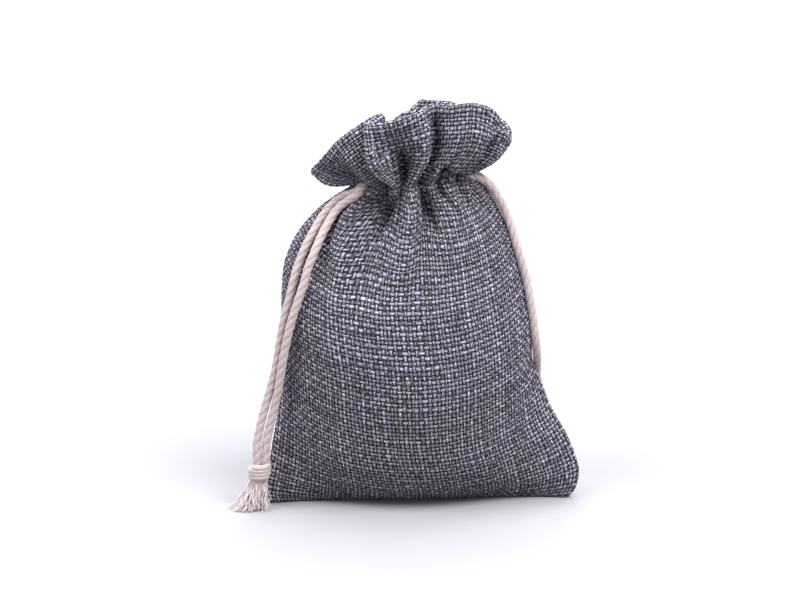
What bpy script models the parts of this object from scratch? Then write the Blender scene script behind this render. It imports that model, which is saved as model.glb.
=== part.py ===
"""A small drawstring sack of grey burlap, filled and standing, its neck drawn in by two cotton cords.

Sizes are in millimetres in the tables and are turned to metres where a mesh is made.
+X is the sack's right, +Y its back and +Z up. The floor is at z = 0.
Run it with blender --background --python part.py, or from Blender's text editor.
"""
import math

import bmesh
import bpy
import numpy as np
from mathutils.bvhtree import BVHTree

MM = 0.001                  # tables are in millimetres, meshes in metres

# --- driving sizes of the cloth (mm) ---
CLOTH_ROUND = 200.0         # round the sack: two panels 100 wide
CORD_LINE = 115.0           # height along the cloth of the channel that holds the cords
RIM_LINE = 141.0            # height along the cloth of the hemmed rim
COLLAR = 0.42               # share of the heading at which the collar row of FOLDS stands
WALL = 1.2                  # one layer of the coarse cloth, with its slubs
HEM_WALL = 1.8              # the heading, where the cloth is turned in and lies double
SEAM_HALF = 1.5             # half the thickness of a sewn edge, with its turnings inside
SEAM_ROLL = 2.1             # along the cloth from a seam's edge to its full thickness
SEAM_FADE = (60.0, 40.0)    # height where a side seam starts to lose that thickness, and over how much
SAG_POWER = 0.9             # how squarely a level of the filled panels sags between its seams
FLOOR_PRESS = 1.0           # how far the underside is pressed flat by its own weight
PRESS_FADE = 10.0           # height over which that press dies away
GATHER_REACH = 11.0         # cloth under the cord line that the gathers pull in
GATHER_POWER = 1.5          # how suddenly they do so
DRIFT_DOWN = 20.0           # below the cord line, where FOLDS gives each fold's drift
DRIFT_MOST = 1.4            # the drift's greatest multiple, further down
SWELL_FADE = (80.0, 25.0)   # height where the soft swells start to die away, and over how much
HEM_START = (2.0, 8.0)      # above the cord line, where the cloth starts to double, and over how much
FOLD_FILL = 0.36            # share of a tight fold's inner room that one wall may take
LOOK_ASIDE = (-1.5, -0.6, 0.0, 0.6, 1.5)   # slants of the lines that measure that room
LOOK_START = 0.05           # how far behind the cloth those lines start
COLUMNS = 96                # mesh columns round the cloth
ROWS = (0, 2.2, 5, 9, 14, 20, 28, 38, 49, 60, 70, 79, 87, 94, 100, 105, 109.5, 113,
        115, 117.5, 121, 125, 129, 133, 137, 141)

# --- driving sizes of the cords (mm) ---
CORD_RADIUS = 1.25          # three-ply cotton cord, 2.5 across
CORD_VALLEY = 0.80          # the dip between two plies, as a share of the radius
CORD_LAY = 10.0             # length of one full turn of the twist
CORD_STEP = 1.3             # distance between two rings of a cord's mesh
ROUTE_FINENESS = 20         # steps between two route points when its length is measured
PLIES = 3

# --- driving sizes of the knots and their frayed ends (mm) ---
KNOT_HALF = (3.75, 3.30)    # half width and half depth of the drawn-up overhand knot
KNOT_TALL = 5.8
KNOT_RIDGES = 2             # turns of ply that stand up on the knot
KNOT_RIDGE_RISE = 0.05      # as a share of its half width
KNOT_RIDGE_SLANT = 7.0      # radians that they turn from its top to its bottom
# Rings of a knot from its top, as shares of its height and half width. The last three close it
# underneath: yarns grow from every face of the first of those bands and every other of the next.
KNOT_RINGS = ((0.0, 0.80), (0.14, 0.93), (0.29, 0.97), (0.43, 0.96), (0.57, 0.94), (0.71, 0.92),
              (0.86, 0.83), (1.0, 0.64), (1.09, 0.40), (1.12, 0.19))
ROOT_RING = 7               # where the first band of yarns starts
STRANDS_ROUND = 14          # frayed yarns in that band
STRAND_HALF = 0.32          # half the thickness of a frayed yarn at its root
STRAND_TAPER = 0.25         # share of it lost by the tip
STRAND_INSET = 0.12         # bare edge of the knot round each root
STRAND_LEVELS = 5
STRAND_BEND = (0.45, 0.45, 0.62)   # a yarn's two guide points, as shares of the way to its tip
STRAND_TOUCH = (0.80, 0.80, 1.0)
STRAND_LYING = 0.40         # height of the middle of a yarn that lies on the floor

# --- finishes: linear colour and roughness ---
BURLAP = ((0.18, 0.17, 0.21), 0.9)
COTTON = ((0.72, 0.62, 0.58), 0.85)

# Levels of the filled sack up to the cord line. For each height along the cloth: where the two
# side seams stand, where the middle of the front and of the back stands, and how sharp the
# section's ends are (1 is a lens with creased ends, 0 an ellipse).
LEVEL_COLUMNS = ("t", "left_x", "left_y", "left_z", "right_x", "right_y", "right_z",
                 "front_y", "front_z", "back_y", "back_z", "lens")
LEVELS = (
    (0.0, -48.4, -6.0, 0.3, 46.5, 0.0, 0.3, 5.0, 0.0, 5.0, 0.0, 1.00),
    (4.0, -49.9, -5.8, 3.9, 49.0, 0.0, 4.2, 1.2, 0.5, 9.0, 0.0, 1.00),
    (9.0, -49.1, -5.5, 8.7, 49.8, 0.0, 9.6, -3.4, 2.5, 14.0, 0.0, 0.95),
    (15.0, -47.9, -5.0, 14.6, 48.2, 0.1, 15.6, -8.4, 5.8, 19.2, 1.8, 0.90),
    (22.0, -46.8, -4.5, 21.3, 45.3, 0.3, 22.1, -13.4, 10.8, 22.8, 7.6, 0.80),
    (32.0, -45.3, -3.6, 30.9, 40.5, 0.5, 30.8, -18.6, 19.4, 24.8, 17.4, 0.65),
    (45.0, -44.1, -2.5, 44.0, 37.2, 0.6, 43.3, -22.6, 31.8, 25.2, 30.6, 0.50),
    (58.0, -43.2, -1.6, 57.3, 35.3, 0.8, 56.2, -24.2, 45.2, 24.8, 43.8, 0.40),
    (70.0, -43.3, -1.0, 69.0, 32.9, 1.0, 68.0, -24.2, 57.6, 23.8, 56.4, 0.30),
    (80.0, -42.6, -0.8, 78.5, 30.4, 1.0, 77.6, -23.0, 68.0, 22.2, 67.0, 0.25),
    (90.0, -38.9, -0.6, 87.2, 27.5, 1.0, 87.0, -20.6, 78.4, 19.6, 77.4, 0.20),
    (98.0, -33.5, -0.5, 93.5, 24.0, 1.0, 93.9, -17.6, 86.6, 16.6, 85.6, 0.15),
    (106.0, -27.0, -0.5, 98.6, 19.6, 0.9, 100.3, -13.0, 94.8, 12.4, 93.8, 0.10),
    (115.0, -16.5, -0.5, 103.4, 12.0, 0.8, 105.6, -7.2, 104.4, 7.4, 104.0, 0.10),
)

# Gathers of the neck, from the left side seam round the front, the right seam and the back.
# s: place along the cloth. under: how far the fold stands out (+) or sinks (-) below the cord
# line. reach: how far down it runs. drift: how far along the cloth it has moved at DRIFT_DOWN
# below that line. Then its places at the neck (x, y), at the collar and at the rim (x, y, z).
# Ridges and valleys alternate; wide lobes take in several of them.
FOLD_COLUMNS = ("fold", "s", "under", "reach", "drift", "neck_x", "neck_y",
                "collar_x", "collar_y", "collar_z", "rim_x", "rim_y", "rim_z")
FOLDS = (
    ("left_tip", 0, 1.0, 30, 2, -19.8, -0.8, -28.5, -4.0, 103.6, -34.5, -2.0, 107.0),
    ("left_recess", 8, -7, 48, 6, -16.6, -4.0, -22.5, -3.0, 107.8, -30.4, -6.6, 112.0),
    ("left_wing", 16, 2, 48, 6, -14.0, -7.4, -19.6, -9.6, 110.0, -26.0, -8.5, 118.5),
    ("wing_valley", 28, -11.5, 46, 9, -10.6, -3.6, -11.8, -2.4, 114.0, -13.8, -2.8, 125.4),
    ("tongue", 37, -11.0, 42, 5, -8.6, -9.0, -15.6, -16.2, 111.5, -17.8, -13.4, 124.6),
    ("tongue_dent", 45, -4.0, 34, 1, -5.8, -3.9, -6.2, -4.6, 112.5, -9.3, -14.0, 125.5),
    ("front_lobe", 52, 3.5, 30, -4, -3.6, -8.8, 0.6, -13.2, 114.5, -1.2, -13.0, 128.6),
    ("front_valley", 60, -11.0, 38, -4, -0.8, -3.9, 3.6, -3.8, 114.0, 3.8, -3.7, 129.0),
    ("right_lobe_start", 66, -6.0, 32, -3, 2.8, -7.8, 8.4, -9.6, 116.0, 9.2, -8.6, 129.8),
    ("right_lobe_dip", 70, -1.0, 26, -1, 4.4, -4.0, 11.4, -11.0, 116.5, 13.0, -10.6, 131.0),
    ("right_lobe", 74, 1.0, 20, 0, 7.0, -6.9, 14.8, -12.0, 117.0, 17.2, -11.0, 131.0),
    ("right_lobe_fall", 77, -1.5, 12, 0, 9.4, -3.9, 17.4, -10.0, 116.0, 21.4, -8.6, 129.0),
    ("right_lobe_end", 82, 0.5, 12, 0, 13.2, -4.8, 18.9, -6.6, 115.0, 24.2, -5.8, 124.6),
    ("right_slit", 88, -3.5, 16, 0, 10.6, 0.2, 15.2, -0.8, 112.6, 21.0, -0.6, 121.4),
    ("right_flap", 94, 0.5, 14, 0, 13.6, -0.6, 21.2, -3.6, 111.2, 26.4, -2.8, 119.4),
    ("right_tip", 100, 0.8, 20, 0, 14.6, 2.0, 21.9, 1.2, 109.8, 27.6, 2.4, 115.4),
    ("back_right_valley", 108, -4.0, 34, 0, 9.8, 4.6, 17.5, 6.5, 111.5, 27.2, 9.0, 118.5),
    ("back_right_lobe", 116, 1.5, 30, 0, 11.6, 8.2, 17.0, 11.8, 114.0, 21.0, 13.5, 122.5),
    ("back_right_dip", 124, -5.0, 36, 0, 6.0, 4.4, 9.8, 7.2, 114.5, 13.5, 9.0, 123.5),
    ("back_lobe", 132, 1.5, 32, 0, 4.4, 10.4, 6.8, 14.2, 115.5, 9.5, 15.5, 125.0),
    ("back_dip", 139, -5.5, 38, 0, 0.6, 4.4, 2.0, 8.4, 115.5, 3.2, 13.4, 125.8),
    ("back_crown", 146, 1.5, 34, 0, -2.6, 10.8, -2.0, 14.6, 115.5, -1.0, 15.6, 125.4),
    ("back_crown_dip", 155, -4.5, 32, 0, -6.0, 4.6, -6.4, 6.6, 113.5, -5.2, 10.6, 122.4),
    ("back_left_lobe", 164, 1.5, 34, 0, -9.0, 10.2, -10.6, 13.8, 111.0, -11.0, 16.0, 115.5),
    ("back_left_valley", 172, -5.5, 40, 0, -10.8, 4.2, -13.6, 6.4, 111.0, -16.0, 9.0, 117.0),
    ("back_left_wing", 182, 1.5, 36, 0, -15.2, 8.4, -20.4, 11.0, 108.4, -24.0, 12.6, 111.2),
    ("left_back_dip", 191, -4.0, 38, 0, -15.0, 2.8, -20.6, 3.4, 107.5, -28.5, 5.0, 110.0),
)

# Soft hollows and swells of the filled panels: place on the cloth, half-sizes, and how far the
# cloth stands out there.
SWELL_COLUMNS = ("s", "t", "half_s", "half_t", "out")
SWELLS = (
    (14, 66, 16, 12, 1.2),
    (30, 40, 22, 16, -0.8),
    (62, 58, 20, 16, 0.7),
    (84, 30, 12, 16, -1.1),
    (100, 48, 8, 8, -2.2),
    (12, 24, 10, 14, -1.0),
    (150, 60, 26, 18, -1.0),
    (118, 36, 16, 16, 0.8),
    (184, 44, 14, 18, -0.9),
)

# Routes of the two ends of each cord, from the side of the neck down to the knot (mm).
CORD_ROUTES = {
    "left_cord_outer": (
        (-21.0, -5.0, 101.5), (-23.6, -3.6, 100.4), (-26.2, -3.5, 98.9), (-28.7, -4.3, 96.8),
        (-31.2, -5.8, 93.8), (-33.5, -7.4, 90.3), (-36.0, -9.1, 85.9), (-38.2, -10.0, 80.8),
        (-40.0, -11.0, 75.2), (-41.4, -11.7, 69.4), (-43.0, -12.0, 63.0), (-44.5, -11.8, 55.0),
        (-45.7, -11.6, 47.4), (-47.3, -11.4, 40.6), (-49.2, -11.3, 34.0), (-51.0, -11.3, 26.6),
        (-51.9, -11.4, 21.6), (-52.1, -11.5, 18.0), (-52.1, -11.5, 15.6)),
    "left_cord_inner": (
        (-20.7, -7.9, 101.3), (-22.6, -7.2, 99.8), (-24.8, -6.8, 98.2), (-26.9, -7.4, 96.2),
        (-29.2, -9.4, 93.0), (-31.4, -11.4, 89.2), (-33.6, -13.4, 84.4), (-35.6, -14.4, 79.4),
        (-36.9, -15.0, 74.6), (-38.6, -15.3, 69.6), (-40.7, -15.2, 62.9), (-42.6, -14.7, 54.8),
        (-43.9, -14.0, 47.6), (-45.0, -13.1, 40.4), (-46.3, -12.1, 33.8), (-48.0, -11.6, 26.4),
        (-49.0, -11.5, 21.4), (-49.3, -11.5, 18.0), (-49.3, -11.5, 15.6)),
    "right_cord_outer": (
        (17.3, 0.3, 105.2), (18.9, 0.1, 104.5), (21.4, 0.0, 102.6), (23.8, 0.0, 98.9),
        (26.1, 0.2, 94.2), (28.0, -0.8, 89.3), (29.7, -1.9, 83.7), (31.2, -2.2, 78.5),
        (32.7, -2.4, 73.0), (34.0, -3.2, 66.5), (35.1, -3.6, 59.4), (35.9, -3.5, 53.2),
        (36.3, -1.8, 48.8), (36.6, 1.5, 45.4), (36.6, 4.9, 42.2), (36.7, 7.8, 38.6),
        (37.3, 9.2, 34.2), (38.4, 9.7, 30.2), (40.2, 10.4, 26.2), (42.0, 11.4, 22.2),
        (43.0, 12.1, 19.2), (43.2, 12.3, 17.2), (43.2, 12.3, 15.6)),
    "right_cord_inner": (
        (16.3, 4.4, 105.0), (18.2, 4.5, 104.0), (20.2, 4.6, 101.9), (22.1, 4.5, 98.5),
        (24.0, 5.0, 94.0), (25.6, 6.4, 89.0), (27.1, 8.0, 83.0), (28.4, 9.2, 77.0),
        (29.7, 10.1, 71.0), (30.9, 10.7, 65.0), (32.1, 11.0, 58.0), (33.3, 11.1, 51.0),
        (34.3, 11.8, 44.0), (35.6, 12.3, 37.0), (37.0, 12.8, 30.0), (38.9, 13.0, 23.6),
        (40.0, 12.6, 19.4), (40.4, 12.3, 17.4), (40.4, 12.3, 15.6)),
}

# Knots: middle of the top face, and where the frayed end's middle and half spread lie on the
# floor.
KNOTS = {
    "left_knot": {"top": (-51.2, -11.5, 15.2), "rest": (-54.6, -12.2), "spread": (4.6, 3.0)},
    "right_knot": {"top": (41.8, 12.3, 15.2), "rest": (43.6, 15.0), "spread": (4.0, 3.4)},
}


def table(columns, rows):
    """A table as arrays by column name; text columns are left out."""
    named = {}
    for place, name in enumerate(columns):
        if not isinstance(rows[0][place], str):
            named[name] = np.array([row[place] for row in rows], float)
    return named


def smooth_through(knots, values, at):
    """Cubic curve through values at knots, with each slope taken from the two neighbours."""
    run = np.diff(knots)
    rise = np.diff(values, axis=0) / run.reshape((-1,) + (1,) * (values.ndim - 1))
    slope = np.empty_like(values)
    slope[0], slope[-1] = rise[0], rise[-1]
    before = (run[1:] / (run[1:] + run[:-1])).reshape((-1,) + (1,) * (values.ndim - 1))
    slope[1:-1] = rise[:-1] * before + rise[1:] * (1 - before)
    span = np.clip(np.searchsorted(knots, at, side="right") - 1, 0, len(knots) - 2)
    tail = (1,) * (values.ndim - 1)
    width = run[span].reshape(at.shape + tail)
    share = ((at - knots[span]) / run[span]).reshape(at.shape + tail)
    start, end = values[span], values[span + 1]
    leave, arrive = slope[span] * width, slope[span + 1] * width
    return (start * (1 + 2 * share) * (1 - share) ** 2 + end * share ** 2 * (3 - 2 * share)
            + leave * share * (1 - share) ** 2 - arrive * share ** 2 * (1 - share))


def smooth_round(knots, values, at):
    """The same curve, closed round the cloth."""
    wrapped = np.concatenate([knots[-3:] - CLOTH_ROUND, knots, knots[:3] + CLOTH_ROUND])
    return smooth_through(wrapped, np.concatenate([values[-3:], values, values[:3]]), at)


def ease(share):
    """0 to 1 with level ends."""
    share = np.clip(share, 0.0, 1.0)
    return share * share * (3 - 2 * share)


def fading(t, start_and_reach):
    """1 up to a height along the cloth, falling to 0 over a reach."""
    start, reach = start_and_reach
    return 1 - ease((t - start) / reach)


def filled_body(s, t):
    """Points of the filled panels at s round the cloth and t up it, without gathers (mm)."""
    level = table(LEVEL_COLUMNS, LEVELS)
    at = {name: smooth_through(level["t"], level[name], t) for name in LEVEL_COLUMNS[1:]}
    front = s <= CLOTH_ROUND / 2
    half = np.where(front, s, CLOTH_ROUND - s) / (CLOTH_ROUND / 2)
    across = (1 - np.cos(math.pi * half)) / 2 * (1 - at["lens"]) + half * at["lens"]
    bulge = np.sin(math.pi * half) * (1 - at["lens"]) + 4 * half * (1 - half) * at["lens"]
    bulge = np.clip(bulge, 0.0, 1.0)
    x, y, z = (at["left_" + axis] + (at["right_" + axis] - at["left_" + axis]) * across
               for axis in "xyz")
    middle_y = (at["left_y"] + at["right_y"]) / 2
    middle_z = (at["left_z"] + at["right_z"]) / 2
    y = y + (np.where(front, at["front_y"], at["back_y"]) - middle_y) * bulge
    z = z + (np.where(front, at["front_z"], at["back_z"]) - middle_z) * bulge ** SAG_POWER
    # A sewn edge is as thick as its turnings, so the panels part quickly from it.
    from_seam = half * (1 - half) * CLOTH_ROUND / 2
    roll = (np.sin(math.pi / 2 * np.clip(from_seam / SEAM_ROLL, 0, 1))
            * np.sin(math.pi / 2 * np.clip(t / SEAM_ROLL, 0, 1)))
    y = y + np.where(front, -SEAM_HALF, SEAM_HALF) * roll * fading(t, SEAM_FADE)
    centre_x = (at["left_x"] + at["right_x"]) / 2
    half_x = (at["right_x"] - at["left_x"]) / 2
    half_y = (at["back_y"] - at["front_y"]) / 2 + 2 * SEAM_HALF
    out_x, out_y = (x - centre_x) / half_x ** 2, (y - middle_y) / half_y ** 2
    length = np.hypot(out_x, out_y) + 1e-9
    return np.stack([x, y, z], -1), np.stack([out_x / length, out_y / length, 0 * x], -1)


def swell(s, t):
    """How far the soft hollows and swells move the cloth out at s, t (mm)."""
    out = np.zeros(np.broadcast(s, t).shape)
    for row in SWELLS:
        place = dict(zip(SWELL_COLUMNS, row))
        far = ((s - place["s"]) / place["half_s"]) ** 2 + ((t - place["t"]) / place["half_t"]) ** 2
        out = out + place["out"] * np.exp(-far)
    return out


def heading(s, t):
    """Points of the heading above the cord line: neck, collar and rim joined fold by fold (mm)."""
    fold = table(FOLD_COLUMNS, FOLDS)
    neck_body, _ = filled_body(fold["s"], np.full(fold["s"].shape, CORD_LINE))
    neck = np.stack([fold["neck_x"], fold["neck_y"], neck_body[:, 2]], -1)
    collar = np.stack([fold["collar_" + axis] for axis in "xyz"], -1)
    rim = np.stack([fold["rim_" + axis] for axis in "xyz"], -1)
    share = (t[:, 0] - CORD_LINE) / (RIM_LINE - CORD_LINE)
    rows = smooth_through(np.array([0.0, COLLAR, 1.0]), np.stack([neck, collar, rim]), share)
    around = smooth_round(fold["s"], np.swapaxes(rows, 0, 1), s[0])
    return np.swapaxes(around, 0, 1)


def cloth(s, t):
    """Outer face of the sack's cloth on a grid of s round it and t up it (mm)."""
    s, t = np.meshgrid(np.asarray(s, float), np.asarray(t, float))
    body, outward = filled_body(s, np.minimum(t, CORD_LINE))
    fold = table(FOLD_COLUMNS, FOLDS)
    neck_body, _ = filled_body(fold["s"], np.full(fold["s"].shape, CORD_LINE))
    gather = np.stack([fold["neck_x"], fold["neck_y"]], -1) - neck_body[:, :2]
    pulled = smooth_round(fold["s"], gather, s[0])
    drift = smooth_round(fold["s"], fold["drift"], s[0])
    source = s - drift * np.clip((CORD_LINE - t) / DRIFT_DOWN, 0.0, DRIFT_MOST)
    under = smooth_round(fold["s"], np.stack([fold["under"], fold["reach"]], -1), source)
    near_neck = ease((t - CORD_LINE + GATHER_REACH) / GATHER_REACH) ** GATHER_POWER
    down = ease((t - CORD_LINE + under[..., 1]) / under[..., 1])
    out = under[..., 0] * down * (1 - near_neck) + swell(s, t) * fading(t, SWELL_FADE)
    body = body + outward * out[..., None]
    body[..., :2] += pulled * near_neck[..., None]
    # The underside gives under the weight and lies flat on the floor.
    height = body[..., 2]
    body[..., 2] = np.maximum(height - FLOOR_PRESS * np.exp(-height / PRESS_FADE), 0.0)
    above = heading(s, np.maximum(t, CORD_LINE))
    return np.where((t > CORD_LINE)[..., None], above, body)


def cloth_material(name, colour, roughness):
    """A plain matte finish in the piece's main colour."""
    material = bpy.data.materials.new(name)
    material.use_nodes = True
    shader = material.node_tree.nodes["Principled BSDF"]
    shader.inputs["Base Color"].default_value = (*colour, 1.0)
    shader.inputs["Roughness"].default_value = roughness
    shader.inputs["Metallic"].default_value = 0.0
    material.diffuse_color = (*colour, 1.0)
    return material


def new_object(name, data, material, collection):
    """An object with its material, in the sack's collection."""
    piece = bpy.data.objects.new(name, data)
    data.materials.append(material)
    collection.objects.link(piece)
    return piece


def fold_room(inside, corner, along):
    """The least room behind a point of the cloth, looked for straight in and to both sides."""
    room = math.inf
    for slant in LOOK_ASIDE:
        look = (slant * along - corner.normal).normalized()
        hit = inside.ray_cast(corner.co + look * LOOK_START * MM, look)
        if hit[0] is not None:
            room = min(room, hit[3])
    return room


def make_sack(material, collection):
    """The sack: one loft of its two panels from the bottom seam to the rim, then given its wall.

    The bottom row is the bottom seam, so its front and back columns share their points.
    """
    s = np.arange(COLUMNS) * CLOTH_ROUND / COLUMNS
    points = cloth(s, ROWS) * MM
    half = COLUMNS // 2
    mesh = bmesh.new()
    group = mesh.verts.layers.deform.verify()
    seam = [mesh.verts.new(points[0, column]) for column in range(half + 1)]
    rows = [[seam[min(column, COLUMNS - column)] for column in range(COLUMNS)]]
    for row in range(1, len(ROWS)):
        rows.append([mesh.verts.new(points[row, column]) for column in range(COLUMNS)])
    for lower, upper in zip(rows, rows[1:]):
        for column in range(COLUMNS):
            after = (column + 1) % COLUMNS
            mesh.faces.new((lower[column], lower[after], upper[after], upper[column]))
    mesh.normal_update()
    inside = BVHTree.FromBMesh(mesh)
    for height, row in zip(ROWS, rows):
        single = fading(height - CORD_LINE, HEM_START)
        full = HEM_WALL + (WALL - HEM_WALL) * float(single)
        for column, corner in enumerate(row):
            along = (row[(column + 1) % COLUMNS].co - row[column - 1].co).normalized()
            room = fold_room(inside, corner, along)
            corner[group][0] = min(full, FOLD_FILL * room / MM) / HEM_WALL
    data = bpy.data.meshes.new("sack")
    mesh.to_mesh(data)
    mesh.free()
    data.shade_smooth()
    sack = new_object("sack", data, material, collection)
    sack.vertex_groups.new(name="cloth_layers")
    wall = sack.modifiers.new("cloth wall", "SOLIDIFY")
    wall.thickness = HEM_WALL * MM
    wall.offset = -1.0
    wall.vertex_group = "cloth_layers"
    wall.thickness_vertex_group = 0.0
    return sack


def even_route(points):
    """Even steps along the smooth curve through a cord's route points, and its length (mm)."""
    points = np.array(points, float)
    chord = np.concatenate([[0.0], np.cumsum(np.linalg.norm(np.diff(points, axis=0), axis=1))])
    fine = smooth_through(chord, points, np.linspace(0.0, chord[-1], ROUTE_FINENESS * len(points)))
    run = np.concatenate([[0.0], np.cumsum(np.linalg.norm(np.diff(fine, axis=0), axis=1))])
    at = np.linspace(0.0, run[-1], round(run[-1] / CORD_STEP) + 1)
    return np.stack([np.interp(at, run, fine[:, axis]) for axis in range(3)], -1), at


def make_ply_section(collection):
    """Outline of the twisted cord: a ridge for each ply and a dip between them. A guide only."""
    data = bpy.data.curves.new("ply_section", "CURVE")
    data.dimensions = "2D"
    outline = data.splines.new("POLY")
    outline.points.add(2 * PLIES - 1)
    outline.use_cyclic_u = True
    for corner, point in enumerate(outline.points):
        radius = CORD_RADIUS * MM * (CORD_VALLEY if corner % 2 else 1.0)
        angle = -math.pi * corner / PLIES
        point.co = (radius * math.cos(angle), radius * math.sin(angle), 0.0, 1.0)
    section = bpy.data.objects.new("ply_section", data)
    section.hide_render = True
    section.display_type = "WIRE"
    collection.objects.link(section)
    return section


def make_cord(name, route, section, material, collection):
    """One end of a drawcord: the plies' outline carried along its route and turned as it goes."""
    points, at = even_route(route)
    data = bpy.data.curves.new(name, "CURVE")
    data.dimensions = "3D"
    data.bevel_mode = "OBJECT"
    data.bevel_object = section
    data.use_fill_caps = True
    line = data.splines.new("POLY")
    line.points.add(len(points) - 1)
    for point, place, run in zip(line.points, points, at):
        point.co = (*(place * MM), 1.0)
        point.tilt = 2 * math.pi * run / CORD_LAY
    return new_object(name, data, material, collection)


def knot_ring(share, girth):
    """One ring of a knot, share of the way down it, with slanting turns of ply (mm)."""
    angle = 2 * math.pi * np.arange(STRANDS_ROUND) / STRANDS_ROUND
    ridges = np.sin(KNOT_RIDGES * angle + KNOT_RIDGE_SLANT * share)
    radius = girth * (1 + KNOT_RIDGE_RISE * ridges)
    return np.stack([KNOT_HALF[0] * radius * np.cos(angle), KNOT_HALF[1] * radius * np.sin(angle),
                     np.full(STRANDS_ROUND, -share * KNOT_TALL)], -1)


def yarn_middle(root, tip, share):
    """Middle of a frayed yarn: down from its root, out, and then along the floor (mm)."""
    fall, level = 1 - share, 3 * share * (1 - share)
    bend = root + (tip - root) * STRAND_BEND
    touch = root + (tip - root) * STRAND_TOUCH
    return fall ** 3 * root + level * fall * bend + level * share * touch + share ** 3 * tip


def fray(mesh, face, tip):
    """Draws one face of the knot's root out into a frayed yarn that ends lying on the floor."""
    bmesh.ops.inset_individual(mesh, faces=[face], thickness=STRAND_INSET * MM, depth=0.0)
    root = np.array(face.calc_center_median()) / MM
    away = (tip - root) * (1, 1, 0)
    away /= np.linalg.norm(away)
    side = np.array([-away[1], away[0], 0.0])
    corners = [np.array(corner.co) / MM - root for corner in face.verts]
    wide = max(abs(corner @ side) for corner in corners)
    deep = max(abs(corner @ away) for corner in corners)
    places = [(corner @ side / wide, corner @ away / deep) for corner in corners]
    for level in range(1, STRAND_LEVELS + 1):
        share = level / STRAND_LEVELS
        middle = yarn_middle(root, tip, share)
        behind = yarn_middle(root, tip, (level - 0.5) / STRAND_LEVELS)
        ahead = (middle - behind) / np.linalg.norm(middle - behind)
        lift = np.cross(ahead, side)
        face = bmesh.ops.extrude_discrete_faces(mesh, faces=[face])["faces"][0]
        half = STRAND_HALF * (1 - STRAND_TAPER * share)
        for corner, (across, up) in zip(face.verts, places):
            corner.co = (middle + half * (across * side + up * lift)) * MM


def make_knot(name, knot, material, collection):
    """An overhand knot in the two ends of a cord, with the frayed yarns below it, in one piece."""
    mesh = bmesh.new()
    top = np.array(knot["top"])
    rings = [[mesh.verts.new((top + point) * MM) for point in knot_ring(share, girth)]
             for share, girth in KNOT_RINGS]
    roots = []
    for place, (upper, lower) in enumerate(zip(rings, rings[1:])):
        for column in range(STRANDS_ROUND):
            after = (column + 1) % STRANDS_ROUND
            face = mesh.faces.new((upper[column], lower[column], lower[after], upper[after]))
            if place == ROOT_RING or (place == ROOT_RING + 1 and column % 2):
                roots.append(face)
    mesh.faces.new(rings[0])
    mesh.faces.new(reversed(rings[-1]))
    bmesh.ops.recalc_face_normals(mesh, faces=mesh.faces)
    outermost = (KNOT_RINGS[ROOT_RING][1] + KNOT_RINGS[ROOT_RING + 1][1]) / 2
    fan = np.array(knot["spread"]) / np.array(KNOT_HALF) / outermost
    for face in roots:
        from_axis = (np.array(face.calc_center_median()) / MM - top)[:2]
        fray(mesh, face, np.array([*(knot["rest"] + from_axis * fan), STRAND_LYING]))
    data = bpy.data.meshes.new(name)
    mesh.to_mesh(data)
    mesh.free()
    return new_object(name, data, material, collection)


def main():
    """Builds the sack in an empty scene."""
    for old in list(bpy.data.objects):
        bpy.data.objects.remove(old, do_unlink=True)
    collection = bpy.data.collections.new("Burlap sack")
    bpy.context.scene.collection.children.link(collection)
    burlap = cloth_material("grey burlap", *BURLAP)
    make_sack(burlap, collection)
    guides = bpy.data.collections.new("Guides")
    bpy.context.scene.collection.children.link(guides)
    cotton = cloth_material("cream cotton", *COTTON)
    section = make_ply_section(guides)
    for name, route in CORD_ROUTES.items():
        make_cord(name, route, section, cotton, collection)
    for name, knot in KNOTS.items():
        make_knot(name, knot, cotton, collection)


main()
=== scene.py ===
"""Looks of a small drawstring sack: woven burlap, twisted cotton cords, camera, lights and floor.

The cloth is worked out in millimetres at s round it and t up it, as in the part's source. Then it
is woven: each yarn stands out of the cloth, goes over one crossing yarn and under the next.
"""
import math

import bpy
import numpy as np
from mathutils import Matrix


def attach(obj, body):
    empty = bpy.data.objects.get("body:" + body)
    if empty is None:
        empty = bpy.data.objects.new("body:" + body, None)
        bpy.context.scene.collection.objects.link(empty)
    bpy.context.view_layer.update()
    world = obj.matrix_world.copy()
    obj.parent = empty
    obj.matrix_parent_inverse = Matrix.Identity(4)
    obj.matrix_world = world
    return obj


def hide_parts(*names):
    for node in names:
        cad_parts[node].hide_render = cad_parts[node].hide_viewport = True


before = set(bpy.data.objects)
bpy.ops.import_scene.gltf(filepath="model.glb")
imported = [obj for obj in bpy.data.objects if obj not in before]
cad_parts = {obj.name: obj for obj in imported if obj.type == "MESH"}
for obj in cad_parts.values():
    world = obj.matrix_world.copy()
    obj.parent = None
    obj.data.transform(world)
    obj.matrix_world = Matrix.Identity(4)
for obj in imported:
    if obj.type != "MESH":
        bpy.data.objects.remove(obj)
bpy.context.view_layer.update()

MM = 0.001  # shapes are worked out in millimetres, meshes are in metres
TINY = 1e-12  # keeps a vector of no length from being divided by nothing
chance = np.random.default_rng(23)

# --- the photograph's view ---
IMAGE_WIDTH = 800  # pixels
PIXEL = 0.314  # mm on the sack that one pixel shows
ELEVATION = math.radians(16)
VIEW_DISTANCE = 1500.0  # mm
AIM = (-6.9, -5.0, 66.6)  # mm, what the middle of the image shows
SENSOR = 36.0  # mm

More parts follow.
